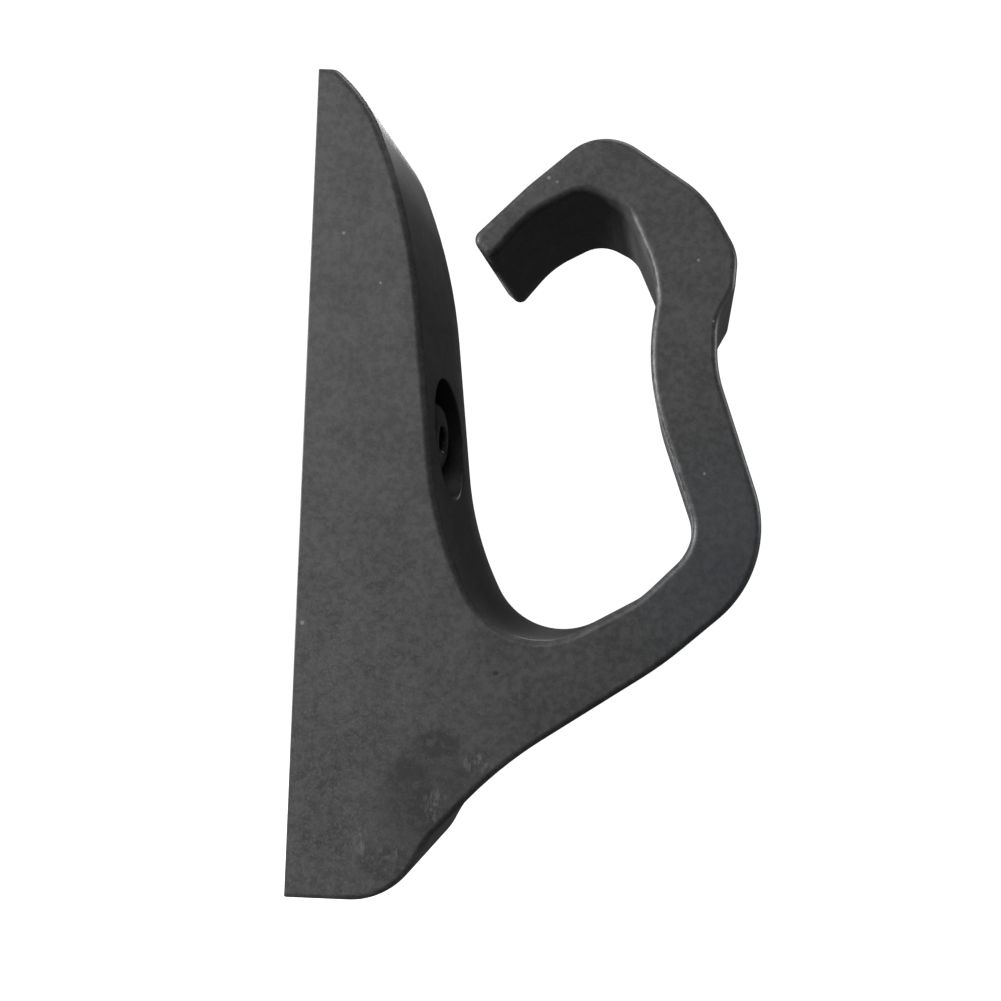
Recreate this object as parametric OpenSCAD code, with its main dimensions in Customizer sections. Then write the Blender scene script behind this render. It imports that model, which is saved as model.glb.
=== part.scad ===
// Screw-on bag hook: one moulded body with a flat back, held by a single screw and a plain washer.
// Frame: millimetres, +Z up, +X out of the flat back, Y through the thickness.
// The origin is the centre of the flat back face.

/* [Body] */
// Height of the flat back
body_h = 90; // [70:1:120]
// Thickness of the body, side face to side face
body_t = 20.5; // [16:0.5:26]

/* [Screw hole] */
// Height of the hole above the centre of the back
hole_z = 6.5; // [4:0.5:8]
// Diameter of the counterbore
counterbore_d = 14; // [12:0.5:15]
// Diameter of the screw's clearance hole
clearance_d = 5.5; // [5.3:0.1:6]
// Thickness left under the counterbore
floor_t = 2.6; // [2:0.2:5]

/* [Fixing screw] */
// Thread diameter
screw_d = 5; // [4:1:5]
// Length under the head
screw_len = 10; // [6:1:12]
// Diameter of the button head
head_d = 9.5; // [8:0.5:10]
// Height of the button head
head_h = 2.75; // [2:0.25:3]
// Width of the hexagon socket across its flats
socket_w = 3; // [2.5:0.5:3]
// Depth of the hexagon socket
socket_depth = 1.6; // [1:0.1:1.8]
// Outside diameter of the washer
washer_d = 10; // [9:0.5:11]
// Thickness of the washer
washer_t = 1; // [0.8:0.1:1.2]

/* [Hidden] */
eps = 0.01;
$fn = 64;
arc_step = 7.5;
scale_h = body_h / 90;
hole_slack = 0.3;
// Far enough to come out of the concave front, and short of the arm
counterbore_reach = 16;

// Outline seen from the side, as corners [x, z, corner radius], clockwise from the foot of the back
outline = [
    // flat back and pointed top
    [0, -45, 0.3], [0, 45, 0.3], [2, 45, 1.5], [5.7, 41.7, 16],
    // concave front that carries the screw hole, down to the bottom of the throat
    [10.9, 29, 68], [14.9, -4, 40], [22.6, -19.5, 9],
    // inside of the arm, up to the crook and round to the tip
    [37, -11.2, 14], [43.4, -4.6, 5.5], [36.6, 13.6, 26], [37.6, 21.5, 2], [37.1, 24.9, 10],
    [34.1, 31.2, 4], [29.6, 33.3, 4.5], [23.6, 30, 12], [19.6, 25, 1],
    // outside of the arm, back down to the foot
    [17.1, 27.1, 1.2], [23.1, 33.2, 20], [31, 40.2, 6], [42.6, 33, 12], [46.3, 26.9, 5],
    [46.1, 22.9, 3], [44.4, 19.6, 6], [44.5, 14.2, 14], [52.3, -7, 13], [40, -18.1, 40],
    [23, -29.7, 45], [15.2, -38.2, 14], [12, -45, 8]
];

// The screw is backed off until its tip is level with the flat back
washer_x = screw_len - washer_t;
head_x = screw_len;

function unit(v) = v / norm(v);

// Points of the arc that rounds corner c between its neighbours a and b with radius r
function corner_arc(a, c, b, r) =
    let (
        u = unit(a - c),
        w = unit(b - c),
        half = acos(u * w) / 2,
        centre = c + unit(u + w) * r / sin(half),
        from = c + u * r / tan(half) - centre,
        to = c + w * r / tan(half) - centre,
        a0 = atan2(from[1], from[0]),
        turn = atan2(from[0] * to[1] - from[1] * to[0], from * to),
        steps = max(1, ceil(abs(turn) / arc_step))
    )
    [for (i = [0 : steps]) centre + r * [cos(a0 + turn * i / steps), sin(a0 + turn * i / steps)]];

function xz(corner) = [corner[0], corner[1]];

function rounded(corners) =
    let (n = len(corners))
    [for (i = [0 : n - 1])
        each corner_arc(xz(corners[(i + n - 1) % n]), xz(corners[i]), xz(corners[(i + 1) % n]), corners[i][2])];

// The outline lies in XZ and is extruded through the thickness, half to each side of Y = 0
module side_plate(corners, thickness) {
    rotate([90, 0, 0])
        translate([0, 0, -thickness / 2])
            linear_extrude(thickness)
                polygon(rounded(corners));
}

// A cylinder along +X that starts at x and sits on the screw's axis
module along_x(x, d, h) {
    translate([x, 0, hole_z])
        rotate([0, 90, 0])
            cylinder(d = d, h = h);
}

module hook_body() {
    color([0.25, 0.25, 0.26])
        difference() {
            side_plate(scale_h * outline, body_t);
            along_x(-eps, clearance_d, floor_t + 2 * eps);
            along_x(floor_t, counterbore_d, counterbore_reach);
        }
}

module plain_washer() {
    color([0.62, 0.63, 0.65])
        difference() {
            along_x(washer_x, washer_d, washer_t);
            along_x(washer_x - eps, screw_d + hole_slack, washer_t + 2 * eps);
        }
}

module fixing_screw() {
    color([0.2, 0.2, 0.21])
        difference() {
            union() {
                along_x(0, screw_d, head_x + eps);
                translate([head_x, 0, hole_z])
                    rotate([0, 90, 0])
                        rotate_extrude()
                            button_profile();
            }
            translate([head_x + head_h - socket_depth, 0, hole_z])
                rotate([0, 90, 0])
                    cylinder(d = socket_w / cos(30), h = 2 * socket_depth, $fn = 6);
        }
}

// Half section of the button head: a short rim, then an arc up to a small flat crown
module button_profile() {
    rim = 0.4;
    crown_r = 2.4;
    steps = 6;
    rise = head_h - rim;
    run = head_d / 2 - crown_r;
    dome_r = (rise * rise + run * run) / (2 * rise);
    polygon(concat(
        [[0, 0], [head_d / 2, 0]],
        [for (i = [0 : steps])
            let (a = asin(run / dome_r) * (steps - i) / steps)
            [crown_r + dome_r * sin(a), head_h - dome_r + dome_r * cos(a)]],
        [[0, head_h]]
    ));
}

hook_body();
plain_washer();
fixing_screw();
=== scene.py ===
"""Screw-on bag hook: a dark moulded hook with its fixing screw and washer, in soft light on white."""

import math

import bmesh
import bpy
from mathutils import Matrix, Vector


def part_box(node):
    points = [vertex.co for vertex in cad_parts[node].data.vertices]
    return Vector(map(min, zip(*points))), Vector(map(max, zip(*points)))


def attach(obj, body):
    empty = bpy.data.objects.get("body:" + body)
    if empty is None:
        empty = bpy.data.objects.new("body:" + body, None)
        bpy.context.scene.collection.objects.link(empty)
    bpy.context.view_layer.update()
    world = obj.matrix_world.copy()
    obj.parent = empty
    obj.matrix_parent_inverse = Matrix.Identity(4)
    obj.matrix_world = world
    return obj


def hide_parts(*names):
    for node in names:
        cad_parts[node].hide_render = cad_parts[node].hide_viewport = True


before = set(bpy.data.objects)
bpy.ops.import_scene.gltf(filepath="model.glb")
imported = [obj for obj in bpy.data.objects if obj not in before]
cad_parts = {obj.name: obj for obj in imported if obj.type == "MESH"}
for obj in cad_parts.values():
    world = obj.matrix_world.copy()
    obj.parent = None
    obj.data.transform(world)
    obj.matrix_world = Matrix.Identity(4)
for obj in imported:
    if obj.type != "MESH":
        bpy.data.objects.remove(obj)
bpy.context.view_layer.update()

MM = 0.001

# ---------------------------------------------------------------- sizes, in millimetres
screw_lo, screw_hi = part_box("fixing_screw")
washer_lo, washer_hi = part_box("plain_washer")

HALF_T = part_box("hook_body")[1].y / MM
AXIS_Z = (screw_lo.z + screw_hi.z) / 2 / MM
FILLET = 0.8
# The edges along the flat back are crisper, by this share of the fillet
BACK_EDGE = 0.35
COUNTERBORE_R = 7.0
CLEARANCE_R = 2.75
FLOOR_X = 2.6
MOUTH_ROUND = 0.25
BACK_CHAMFER = 0.3
# How far a cutter reaches past the face that it cuts
CUT_PAST = 1
# The middle of the throat: the painted rim highlight lies on the arm beyond it
THROAT_X = 28
ARC_STEP_DEG = 2.0
ROUND_SEGMENTS = 96

# The side outline of the body as corners (x, z, radius), clockwise from the foot of the flat back
OUTLINE = [
    (0, -45, 0.3), (0, 45, 0.3), (2, 45, 1.5), (5.7, 41.7, 16),
    (10.9, 29, 68), (14.9, -4, 40), (22.6, -19.5, 9),
    (37, -11.2, 14), (43.4, -4.6, 5.5), (36.6, 13.6, 26), (37.6, 21.5, 2), (37.1, 24.9, 10),
    (34.1, 31.2, 4), (29.6, 33.3, 4.5), (23.6, 30, 12), (19.6, 25, 1),
    (17.1, 27.1, 1.2), (23.1, 33.2, 20), (31, 40.2, 6), (42.6, 33, 12), (46.3, 26.9, 5), (46.1, 22.9, 3),
    (44.4, 19.6, 6), (44.5, 14.2, 14), (52.3, -7, 13), (40, -18.1, 40), (23, -29.7, 45), (15.2, -38.2, 14),
    (12, -45, 8),
]


# ---------------------------------------------------------------- meshes
def new_object(name, verts, faces, smooth_angle=40):
    """A mesh object from points in millimetres, smooth shaded up to that angle."""
    mesh = bpy.data.meshes.new(name)
    mesh.from_pydata([Vector(v) * MM for v in verts], [], faces)
    mesh.validate()
    obj = bpy.data.objects.new(name, mesh)
    bpy.context.scene.collection.objects.link(obj)
    tidy_normals(obj, smooth_angle)
    return obj


def tidy_normals(obj, smooth_angle):
    bm = bmesh.new()
    bm.from_mesh(obj.data)
    bmesh.ops.remove_doubles(bm, verts=bm.verts, dist=1e-7)
    bmesh.ops.recalc_face_normals(bm, faces=bm.faces)
    for f in bm.faces:
        f.smooth = True
    bm.to_mesh(obj.data)
    bm.free()
    obj.data.set_sharp_from_angle(angle=math.radians(smooth_angle))


def inset_outline(corners, d):
    """The outline moved inwards by d, with the same number of points whatever d is."""
    n = len(corners)
    points = [Vector((x, z)) for x, z, _ in corners]
    lines = []
    for i in range(n):
        a, b = points[i], points[(i + 1) % n]
        along = (b - a).normalized()
        inwards = Vector((along.y, -along.x))
        lines.append((a + inwards * d * (BACK_EDGE if i == 0 else 1), along))
    out = []
    for i in range(n):
        (p, u), (q, w) = lines[i - 1], lines[i]
        turn = math.atan2(u.x * w.y - u.y * w.x, u.dot(w))
        s = ((q.x - p.x) * w.y - (q.y - p.y) * w.x) / (u.x * w.y - u.y * w.x)
        corner = p + u * s
        # a clockwise turn (negative) is an outside corner, so its radius shrinks with d
        radius = max(0.03, corners[i][2] - d if turn < 0 else corners[i][2] + d)
        reach = radius * math.tan(abs(turn) / 2)
        side = -1 if turn < 0 else 1
        start = corner - u * reach
        centre = start + Vector((-u.y, u.x)) * side * radius
        steps = max(3, math.ceil(abs(math.degrees(turn)) / ARC_STEP_DEG))
        first = start - centre
        for k in range(steps + 1):
            a = turn * k / steps
            c, t = math.cos(a), math.sin(a)
            out.append(centre + Vector((first.x * c - first.y * t, first.x * t + first.y * c)))
    return out


def wall_x(z):
    """Where the concave front wall lies at height z, near the screw hole."""
    found = []
    ring = inset_outline(OUTLINE, 0)
    for a, b in zip(ring, ring[1:] + ring[:1]):
        if (a.y - z) * (b.y - z) <= 0 and a.y != b.y:
            found.append(a.x + (b.x - a.x) * (z - a.y) / (b.y - a.y))
    return min(x for x in found if x > FLOOR_X)


def plate_with_round_edges():
    """The outline as a plate whose two side faces meet the walls in a fillet."""
    verts = []
    rings = []
    arcs = 6
    profile = []
    for k in range(arcs + 1):
        a = math.radians(90 * k / arcs)
        profile.append((FILLET * (1 - math.sin(a)), -HALF_T + FILLET * (1 - math.cos(a))))
    profile += [(d, -y) for d, y in reversed(profile)]
    for d, y in profile:
        loop = inset_outline(OUTLINE, d)
        rings.append([len(verts) + i for i in range(len(loop))])
        verts += [(p.x, y, p.y) for p in loop]
    faces = [tuple(rings[0]), tuple(reversed(rings[-1]))]
    for a, b in zip(rings, rings[1:]):
        for i in range(len(a)):
            j = (i + 1) % len(a)
            faces.append((a[i], b[i], b[j], a[j]))
    return new_object("hook_moulding", verts, faces)


def lathe(name, rings, smooth_angle=40):
    """A closed form round the screw's axis. Each ring is a function of the angle that gives (x, radius)."""
    verts = []
    loops = []
    for ring in rings:
        loop = []
        for i in range(ROUND_SEGMENTS):
            a = 2 * math.pi * i / ROUND_SEGMENTS
            x, r = ring(a)
            loop.append(len(verts))
            verts.append((x, r * math.sin(a), AXIS_Z + r * math.cos(a)))
        loops.append(loop)
    faces = [tuple(loops[0]), tuple(reversed(loops[-1]))]
    for a, b in zip(loops, loops[1:]):
        for i in range(ROUND_SEGMENTS):
            j = (i + 1) % ROUND_SEGMENTS
            faces.append((a[i], b[i], b[j], a[j]))
    return new_object(name, verts, faces, smooth_angle)


def fixed(x, r):
    """A ring that is a plain circle."""
    return lambda a: (x, r)


def hole_cutter():
    """The stepped hole: chamfered at the back, flat counterbore floor, rounded mouth in the concave wall."""
    def mouth(phi, beyond=0.0):
        """A ring on the rounded mouth, phi degrees round its quarter circle."""
        def ring(a):
            t = math.radians(phi)
            x = wall_x(AXIS_Z + COUNTERBORE_R * math.cos(a)) - MOUTH_ROUND
            r = COUNTERBORE_R + MOUTH_ROUND * (1 - math.cos(t))
            return (x + MOUTH_ROUND * math.sin(t) + beyond * math.cos(t), r + beyond * math.sin(t))
        return ring
    rings = [fixed(-CUT_PAST, CLEARANCE_R + BACK_CHAMFER + CUT_PAST), fixed(BACK_CHAMFER, CLEARANCE_R)]
    rings += [fixed(FLOOR_X, CLEARANCE_R)]
    rings += [fixed(FLOOR_X, COUNTERBORE_R - 0.2), fixed(FLOOR_X + 0.06, COUNTERBORE_R - 0.06)]
    rings += [fixed(FLOOR_X + 0.2, COUNTERBORE_R)]
    rings += [mouth(0), mouth(20), mouth(40), mouth(58), mouth(58, 2.2)]
    return lathe("hole_cutter", rings)


def subtract(obj, cutter):
    cut = obj.modifiers.new("cut", "BOOLEAN")
    cut.operation = "DIFFERENCE"
    cut.solver = "EXACT"
    cut.object = cutter
    apply_modifiers(obj)
    bpy.data.objects.remove(cutter, do_unlink=True)


def apply_modifiers(obj):
    bpy.context.view_layer.update()
    evaluated = obj.evaluated_get(bpy.context.evaluated_depsgraph_get())
    mesh = bpy.data.meshes.new_from_object(evaluated)
    old = obj.data
    obj.modifiers.clear()
    obj.data = mesh
    bpy.data.meshes.remove(old)


def mark_rims(obj):
    """Stores where a highlight is painted: the rims of the arm and crook that face the wedge."""
    rim = obj.data.attributes.new("rim", "FLOAT", "POINT")
    for v in obj.data.vertices:
        ny = v.normal.y ** 2
        towards_wedge = -v.normal.x / math.sqrt(max(1e-6, 1 - ny))
        faces_wedge = max(0.0, min(1.0, (towards_wedge - 0.6) / 0.25)) if v.co.x > THROAT_X * MM else 0.0
        rim.data[v.index].value = min(1.0, 4 * ny * (1 - ny)) * faces_wedge


body = plate_with_round_edges()
subtract(body, hole_cutter())
tidy_normals(body, 40)
mark_rims(body)
weighted = body.modifiers.new("even_normals", "WEIGHTED_NORMAL")
weighted.mode = "FACE_AREA"
weighted.keep_sharp = True

# The washer: punched, with one rolled and one sharper edge
WASHER_OUT = 5.0
WASHER_IN = 2.65
w0 = washer_lo.x / MM
w1 = washer_hi.x / MM


def washer_profile():
    """The washer's section as (x, radius), round from its face on the hook's side."""
    return [
        (w0, 3.2), (w0, WASHER_OUT - 0.15), (w0 + 0.05, WASHER_OUT - 0.04), (w0 + 0.16, WASHER_OUT),
        (w1 - 0.2, WASHER_OUT), (w1 - 0.06, WASHER_OUT - 0.06), (w1, WASHER_OUT - 0.2),
        (w1, 3.4), (w1, WASHER_IN + 0.2), (w1 - 0.05, WASHER_IN + 0.07), (w1 - 0.18, WASHER_IN),
        (w0 + 0.1, WASHER_IN), (w0 + 0.03, WASHER_IN + 0.04), (w0, WASHER_IN + 0.13),
    ]


def ring_loop(name, pts):
    """A closed ring round the screw's axis from a closed profile of (x, radius)."""
    verts = []
    n = len(pts)
    for i in range(ROUND_SEGMENTS):
        a = 2 * math.pi * i / ROUND_SEGMENTS
        verts += [(x, r * math.sin(a), AXIS_Z + r * math.cos(a)) for x, r in pts]
    faces = []
    for i in range(ROUND_SEGMENTS):
        j = (i + 1) % ROUND_SEGMENTS
        for k in range(n):
            m = (k + 1) % n
            faces.append((i * n + k, i * n + m, j * n + m, j * n + k))
    return new_object(name, verts, faces)


washer = ring_loop("washer_ring", washer_profile())

# The screw: a rolled thread, a button head and a hexagon socket
PITCH = 0.8
THREAD_R = 2.5
ROOT_R = 2.01
THREAD_RINGS = 150
# One flank's rise as a share of the pitch, and half the flat root as a share of that rise
FLANK = 0.36
ROOT_FLAT = 0.12
# The thread dies out over this length, this far below the head, into a neck slimmer by the last one
RUNOUT = 0.5
RUNOUT_GAP = 0.3
NECK_IN = 0.25
TIP_R = 1.75
TIP_SLOPE = 1.1
# the turning head runs a hair clear of the washer, so that their flat faces don't share a plane
HEAD_GAP = 0.02
HEAD_HEIGHT = 2.75
TOP_X = screw_hi.x / MM
HEAD_X = TOP_X - HEAD_HEIGHT + HEAD_GAP
HEAD_R = 4.75
RIM = 0.4
CROWN_R = 2.4
SOCKET_W = 3.0
SOCKET_DEPTH = 1.6


def thread(x):
    """One ring of the shank at x: a 60 degree thread that starts in a chamfer and dies out under the head."""
    def ring(a):
        phase = (x / PITCH - a / (2 * math.pi)) % 1.0
        ridge = max(0.0, min(1.0, (0.5 - abs(phase - 0.5)) / FLANK - ROOT_FLAT))
        fade = max(0.0, min(1.0, (HEAD_X - RUNOUT_GAP - x) / RUNOUT))
        depth = (THREAD_R - ROOT_R) * (1 - ridge) * fade
        r = THREAD_R - depth - (1 - fade) * NECK_IN
        return (x, min(r, TIP_R + x * TIP_SLOPE))
    return ring


def hexagon(x, across, share=1.0, circle=0.0):
    """A hexagonal ring, or with a share below 1 a blend of it with a circle of that radius."""
    def ring(a):
        b = (a + math.pi / 6) % (math.pi / 3) - math.pi / 6
        return (x, across / 2 / math.cos(b) * share + (1 - share) * circle)
    return ring


def screw_rings():
    """The screw from its tip, along the shank, over the head and down into the socket."""
    rings = [fixed(0, 0.3)] + [thread(HEAD_X * k / THREAD_RINGS) for k in range(THREAD_RINGS)]
    rings += [fixed(HEAD_X, 2.6), fixed(HEAD_X, HEAD_R - 0.12), fixed(HEAD_X + 0.05, HEAD_R - 0.02)]
    rings += [fixed(HEAD_X + 0.15, HEAD_R)]
    rise = TOP_X - HEAD_X - RIM
    run = HEAD_R - CROWN_R
    dome = (rise * rise + run * run) / (2 * rise)
    full = math.asin(run / dome)
    for k in range(11):
        a = full * (10 - k) / 10
        rings.append(fixed(TOP_X - dome + dome * math.cos(a), CROWN_R + dome * math.sin(a) - 0.001))
    rings += [fixed(TOP_X, 2.1), fixed(TOP_X, 1.95)]
    rings += [hexagon(TOP_X - 0.1, SOCKET_W, 0.35, 1.74), hexagon(TOP_X - 0.22, SOCKET_W)]
    rings += [hexagon(TOP_X - SOCKET_DEPTH + 0.08, SOCKET_W), hexagon(TOP_X - SOCKET_DEPTH, SOCKET_W - 0.12)]
    rings += [fixed(TOP_X - SOCKET_DEPTH, 1.25), fixed(TOP_X - SOCKET_DEPTH - 0.25, 0.4)]
    return rings


screw = lathe("button_screw", screw_rings(), 35)


# ---------------------------------------------------------------- materials
class Nodes:
    """A short way to write a material's node tree."""

    def __init__(self, name):
        self.material = bpy.data.materials.new(name)
        self.material.use_nodes = True
        self.tree = self.material.node_tree
        self.shader = self.tree.nodes["Principled BSDF"]
        self.coords = self.tree.nodes.new("ShaderNodeTexCoord").outputs["Object"]

    def put(self, socket, value):
        """Links an output to the socket, or sets a constant on it."""
        if isinstance(value, bpy.types.NodeSocket):
            self.tree.links.new(value, socket)
        else:
            socket.default_value = value

    def maths(self, operation, a, b=0.0, c=0.0, clamp=False):
        n = self.tree.nodes.new("ShaderNodeMath")
        n.operation = operation
        n.use_clamp = clamp
        for socket, value in zip(n.inputs, (a, b, c)):
            self.put(socket, value)
        return n.outputs[0]

    def noise(self, scale, detail, roughness, stretch=None):
        """Noise in object space. A stretch is a rotation and a scale for its coordinates."""
        n = self.tree.nodes.new("ShaderNodeTexNoise")
        n.inputs["Scale"].default_value = scale
        n.inputs["Detail"].default_value = detail
        n.inputs["Roughness"].default_value = roughness
        vector = self.coords
        if stretch:
            m = self.tree.nodes.new("ShaderNodeMapping")
            m.inputs["Rotation"].default_value = stretch[0]
            m.inputs["Scale"].default_value = stretch[1]
            self.put(m.inputs["Vector"], vector)
            vector = m.outputs[0]
        self.put(n.inputs["Vector"], vector)
        return n.outputs["Fac"]

    def span(self, value, lo, hi, to_lo=0.0, to_hi=1.0):
        """A smooth step of the value from one range to another."""
        n = self.tree.nodes.new("ShaderNodeMapRange")
        n.interpolation_type = "SMOOTHSTEP"
        for socket, v in zip(n.inputs, (value, lo, hi, to_lo, to_hi)):
            self.put(socket, v)
        return n.outputs[0]

    def spot(self, x, y, z, radii, soft=0.5):
        """1 inside an ellipsoid in millimetres, falling to 0 outside it."""
        m = self.tree.nodes.new("ShaderNodeMapping")
        m.inputs["Location"].default_value = [-c / r for c, r in zip((x, y, z), radii)]
        m.inputs["Scale"].default_value = [1 / (r * MM) for r in radii]
        self.put(m.inputs["Vector"], self.coords)
        length = self.tree.nodes.new("ShaderNodeVectorMath")
        length.operation = "LENGTH"
        self.put(length.inputs[0], m.outputs[0])
        return self.span(length.outputs["Value"], 1 + soft, 1 - soft)

    def mix(self, share, a, b):
        """Colour a with that share of colour b."""
        n = self.tree.nodes.new("ShaderNodeMix")
        n.data_type = "RGBA"
        self.put(n.inputs[0], share)
        for socket, colour in ((n.inputs[6], a), (n.inputs[7], b)):
            self.put(socket, (*colour, 1) if isinstance(colour, tuple) else colour)
        return n.outputs[2]

    def attribute(self, name):
        n = self.tree.nodes.new("ShaderNodeAttribute")
        n.attribute_name = name
        return n.outputs["Fac"]

    def bump(self, height, distance, strength):
        n = self.tree.nodes.new("ShaderNodeBump")
        n.inputs["Strength"].default_value = strength
        n.inputs["Distance"].default_value = distance
        self.put(n.inputs["Height"], height)
        return n.outputs[0]


# Marks on the near side face, in millimetres. Pale specks: (x, z, radius)
SPECKS = [
    (3.6, 27.1, 0.16), (7.8, 21.9, 0.14), (10.4, 29.7, 0.2), (42, 25.8, 0.17), (43.9, 19.3, 0.13),
    (43.6, 2.8, 0.15), (25.5, 34, 0.2), (26.4, 33.6, 0.13), (0.9, -15.1, 0.22),
]
# The darker rubbed places and the pale abrasion of the scuffed patch: (x, z, half width, half height)
RUBBED = [(13, -31.2, 2.1, 2.0), (16.1, -27.6, 2.4, 1.5), (14.8, -34.9, 1.6, 2.6), (10.6, -40.5, 2.6, 2.0)]
ABRADED = [(16.2, -34.3, 1.3, 1.6), (20.2, -29.2, 1.8, 1.3), (8.2, -38.2, 0.6, 1.8), (12, -39.4, 2.0, 0.7)]


def side_marks(m, places, soft):
    """The sum of soft ellipses on the near side face."""
    total = 0.0
    for x, z, width, height in places:
        total = m.maths("ADD", total, m.spot(x, -HALF_T, z, (width, 2, height), soft), clamp=True)
    return total


def moulding_material():
    """Dark grey glass-filled nylon: a mottled grain, dust in the lower part, handling marks, a painted
    highlight on the rims that face the wedge and painted shade in the crook, the throat and the counterbore.
    """
    m = Nodes("grained_nylon")
    fine = m.noise(4200, 3.0, 0.65)
    medium = m.noise(1250, 3.0, 0.62)
    broad = m.noise(240, 3.0, 0.6)
    tone = m.maths("MULTIPLY", m.span(fine, 0.3, 0.7), 0.35)
    tone = m.maths("MULTIPLY_ADD", m.span(medium, 0.38, 0.62), 0.4, tone)
    tone = m.maths("MULTIPLY_ADD", m.span(broad, 0.35, 0.65), 0.25, tone)
    colour = m.mix(tone, (0.042, 0.042, 0.043), (0.110, 0.110, 0.111))
    # a cooler, bluish cast where the arm turns up
    cool = m.maths("MULTIPLY", m.spot(47, -10, -7, (8, 30, 11), 0.9), 0.4)
    colour = m.mix(cool, colour, (0.050, 0.064, 0.080))
    # pale dust caught in the grain, mostly towards the foot and along the back
    powder = m.span(m.noise(3300, 3.0, 0.75), 0.50, 0.66)
    dust = m.maths("MULTIPLY", powder, m.spot(4, 0, -34, (16, 40, 30), 0.7))
    colour = m.mix(m.maths("MULTIPLY", dust, 0.5), colour, (0.165, 0.165, 0.165))
    # the scuffed patch near the lower outer edge
    ragged = m.span(m.noise(800, 4.0, 0.75), 0.42, 0.54)
    grimy = m.spot(15.5, -HALF_T, -34, (6, 2, 6.5), 0.35)
    colour = m.mix(m.maths("MULTIPLY", grimy, 0.35), colour, (0.030, 0.030, 0.030))
    rubbed = m.maths("MULTIPLY", side_marks(m, RUBBED, 0.25), ragged)
    colour = m.mix(m.maths("MULTIPLY", rubbed, 0.55), colour, (0.026, 0.026, 0.027))
    streaks = m.span(m.noise(2300, 3.0, 0.7, ((0, 0.7, 0), (1, 1, 0.45))), 0.50, 0.62)
    abraded = m.maths("MULTIPLY", side_marks(m, ABRADED, 0.5), streaks)
    colour = m.mix(m.maths("MULTIPLY", abraded, 0.55), colour, (0.20, 0.20, 0.20))
    # a darker tone in the crook, the throat and the counterbore: it stands in for shade that these
    # lights don't give, and isn't a mark that was seen
    crook = m.maths("MULTIPLY", m.spot(36, 2.5, 21, (4.5, 11, 12), 0.25), 0.75)
    throat = m.maths("MULTIPLY", m.spot(22, 2.5, -17, (8, 11, 5), 0.3), 0.5)
    hole_width = m.spot(0, 0, AXIS_Z, (1000, 7.1, 7.1), 0.01)
    pocket = m.maths("MULTIPLY", hole_width, m.spot(12, 0, AXIS_Z, (9.4, 50, 50), 0.03))
    shade = m.maths("MULTIPLY_ADD", pocket, 0.5, m.maths("ADD", crook, throat), clamp=True)
    colour = m.mix(shade, colour, (0.018, 0.018, 0.018))
    # a painted highlight on the rims of the arm and crook that face the wedge, broken up by the grain
    painted_rim_highlight = m.maths("MULTIPLY", m.attribute("rim"), m.span(medium, 0.42, 0.62))
    colour = m.mix(m.maths("MULTIPLY", painted_rim_highlight, 0.45), colour, (0.19, 0.19, 0.19))
    specks = side_marks(m, [(x, z, r, r) for x, z, r in SPECKS], 0.3)
    pit = m.spot(22, -HALF_T, -19.7, (0.3, 1, 0.22), 0.4)
    colour = m.mix(m.maths("MULTIPLY", specks, 0.65), colour, (0.36, 0.36, 0.35))
    colour = m.mix(m.maths("MULTIPLY", pit, 0.8), colour, (0.014, 0.014, 0.014))
    m.put(m.shader.inputs["Base Color"], colour)
    rough = m.maths("MULTIPLY_ADD", m.attribute("rim"), -0.06, m.span(fine, 0.2, 0.8, 0.38, 0.52))
    m.put(m.shader.inputs["Roughness"], rough)
    m.shader.inputs["Specular IOR Level"].default_value = 0.5
    height = m.maths("ADD", m.maths("MULTIPLY", fine, 0.5), m.maths("MULTIPLY", medium, 0.5))
    height = m.maths("MULTIPLY_ADD", abraded, 0.4, height)
    m.put(m.shader.inputs["Normal"], m.bump(height, 0.00003, 0.8))
    return m.material


def metal_material(name, dark, light, rough_lo, rough_hi, coat=0.0):
    """Plated steel: fine turning lines with a mottled, handled finish."""
    m = Nodes(name)
    mottled = m.noise(700, 4.0, 0.6)
    lines = m.noise(900, 2.0, 0.5, ((0, 0, 0), (14, 1, 1)))
    m.put(m.shader.inputs["Base Color"], m.mix(m.span(mottled, 0.3, 0.7), dark, light))
    m.put(m.shader.inputs["Roughness"], m.span(lines, 0.3, 0.7, rough_lo, rough_hi))
    m.shader.inputs["Metallic"].default_value = 1.0
    m.shader.inputs["Coat Weight"].default_value = coat
    m.put(m.shader.inputs["Normal"], m.bump(m.maths("ADD", lines, mottled), 0.00001, 0.6))
    return m.material


body.data.materials.append(moulding_material())
washer.data.materials.append(metal_material("dull_zinc", (0.36, 0.37, 0.39), (0.55, 0.56, 0.58), 0.32, 0.5))
screw.data.materials.append(
    metal_material("black_oxide", (0.055, 0.055, 0.057), (0.15, 0.15, 0.153), 0.3, 0.48, 0.15)
)

for piece, body_name, node, slot in (
    (body, "hook", "hook_body", "body"),
    (washer, "washer_carriage", "plain_washer", "washer"),
    (screw, "screw", "fixing_screw", "screw"),
):
    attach(piece, body_name)
    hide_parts(node)


# ---------------------------------------------------------------- floor, light and camera
def make_floor():
    """A wide white table top, 75 mm below the hook's foot, that looks evenly lit."""
    far = 3000
    down = -120
    verts = [(-far, -far, down), (far, -far, down), (far, far, down), (-far, far, down)]
    floor = new_object("floor", verts, [(0, 1, 2, 3)])
    m = Nodes("white_table")
    m.shader.inputs["Base Color"].default_value = (0.86, 0.86, 0.86, 1)
    m.shader.inputs["Roughness"].default_value = 0.9
    m.shader.inputs["Specular IOR Level"].default_value = 0.1
    m.shader.inputs["Emission Color"].default_value = (1, 1, 1, 1)
    m.shader.inputs["Emission Strength"].default_value = 1.0
    floor.data.materials.append(m.material)
    floor.visible_glossy = floor.visible_diffuse = False


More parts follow.
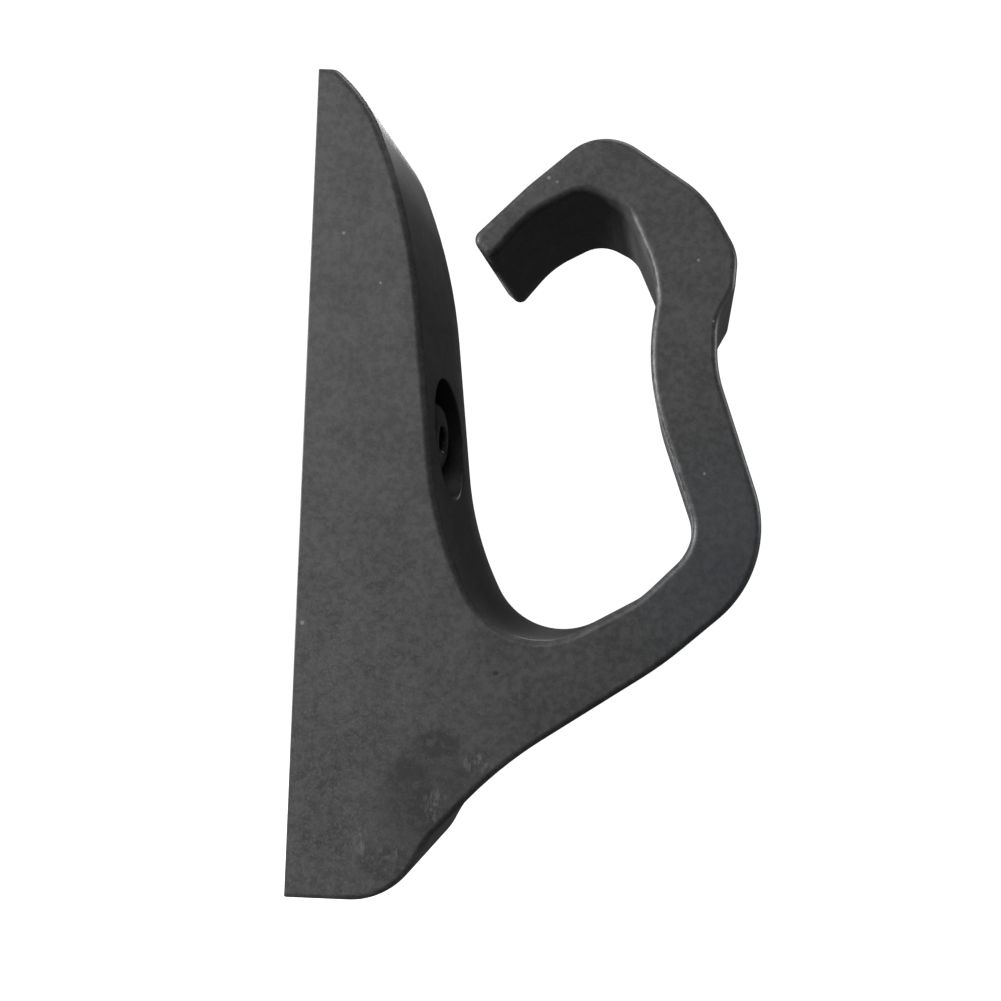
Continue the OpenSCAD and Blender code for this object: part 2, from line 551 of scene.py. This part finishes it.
def soft_light(name, place, target, size, watts, spread=180):
    """A round area light aimed at the target, with its spread in degrees."""
    lamp = bpy.data.lights.new(name, "AREA")
    lamp.shape = "DISK"
    lamp.size = size
    lamp.energy = watts
    lamp.spread = math.radians(spread)
    obj = bpy.data.objects.new(name, lamp)
    obj.location = place
    obj.rotation_mode = "QUATERNION"
    obj.rotation_quaternion = (Vector(target) - Vector(place)).to_track_quat("-Z", "Y")
    bpy.context.scene.collection.objects.link(obj)


def white_surround(light):
    """The camera sees plain white all round; the light that it gives is softer."""
    world = bpy.data.worlds.new("white_surround")
    bpy.context.scene.world = world
    world.use_nodes = True
    tree = world.node_tree
    tree.nodes.clear()
    out = tree.nodes.new("ShaderNodeOutputWorld")
    mix = tree.nodes.new("ShaderNodeMixShader")
    dim = tree.nodes.new("ShaderNodeBackground")
    seen = tree.nodes.new("ShaderNodeBackground")
    path = tree.nodes.new("ShaderNodeLightPath")
    dim.inputs["Color"].default_value = (1, 1, 1, 1)
    dim.inputs["Strength"].default_value = light
    seen.inputs["Color"].default_value = (1, 1, 1, 1)
    seen.inputs["Strength"].default_value = 1.1
    tree.links.new(path.outputs["Is Camera Ray"], mix.inputs[0])
    tree.links.new(dim.outputs[0], mix.inputs[1])
    tree.links.new(seen.outputs[0], mix.inputs[2])
    tree.links.new(mix.outputs[0], out.inputs["Surface"])


make_floor()
MIDDLE = (0.02, 0, 0)
white_surround(0.058)
soft_light("key", (-0.28, -0.30, 0.16), MIDDLE, 0.20, 0.7)
soft_light("left_rim", (-0.38, -0.17, 0.05), MIDDLE, 0.10, 1.2)
soft_light("front", (0, -0.45, 0.15), MIDDLE, 0.25, 0.21)
soft_light("right", (0.42, 0.03, 0.12), MIDDLE, 0.12, 0.6)
soft_light("above", (0.10, 0, 0.45), MIDDLE, 0.20, 0.6)
soft_light("top_back", (0, 0.20, 0.19), MIDDLE, 0.06, 0.095)
soft_light("foot_fill", (-0.12, -0.38, 0), (-0.012, -0.01, -0.058), 0.06, 0.0024, 15)
soft_light("flat_back", (-0.45, 0, 0), MIDDLE, 0.10, 0.4)
soft_light("far_side", (-0.30, 0.36, -0.04), MIDDLE, 0.20, 0.3)

camera_data = bpy.data.cameras.new("photo_camera")
camera_data.lens = 36.4
camera_data.sensor_width = 36
camera_data.shift_x = -0.185
camera_data.shift_y = 0.065
camera_data.clip_start = 0.005
camera = bpy.data.objects.new("photo_camera", camera_data)
bpy.context.scene.collection.objects.link(camera)
camera.matrix_world = (
    Matrix.Translation((0.0420, -0.1195, -0.0072))
    @ Matrix.Rotation(math.radians(90), 4, "X")
    @ Matrix.Rotation(math.radians(2.42), 4, "Z")
)
bpy.context.scene.camera = camera
bpy.context.scene.view_settings.view_transform = "Standard"
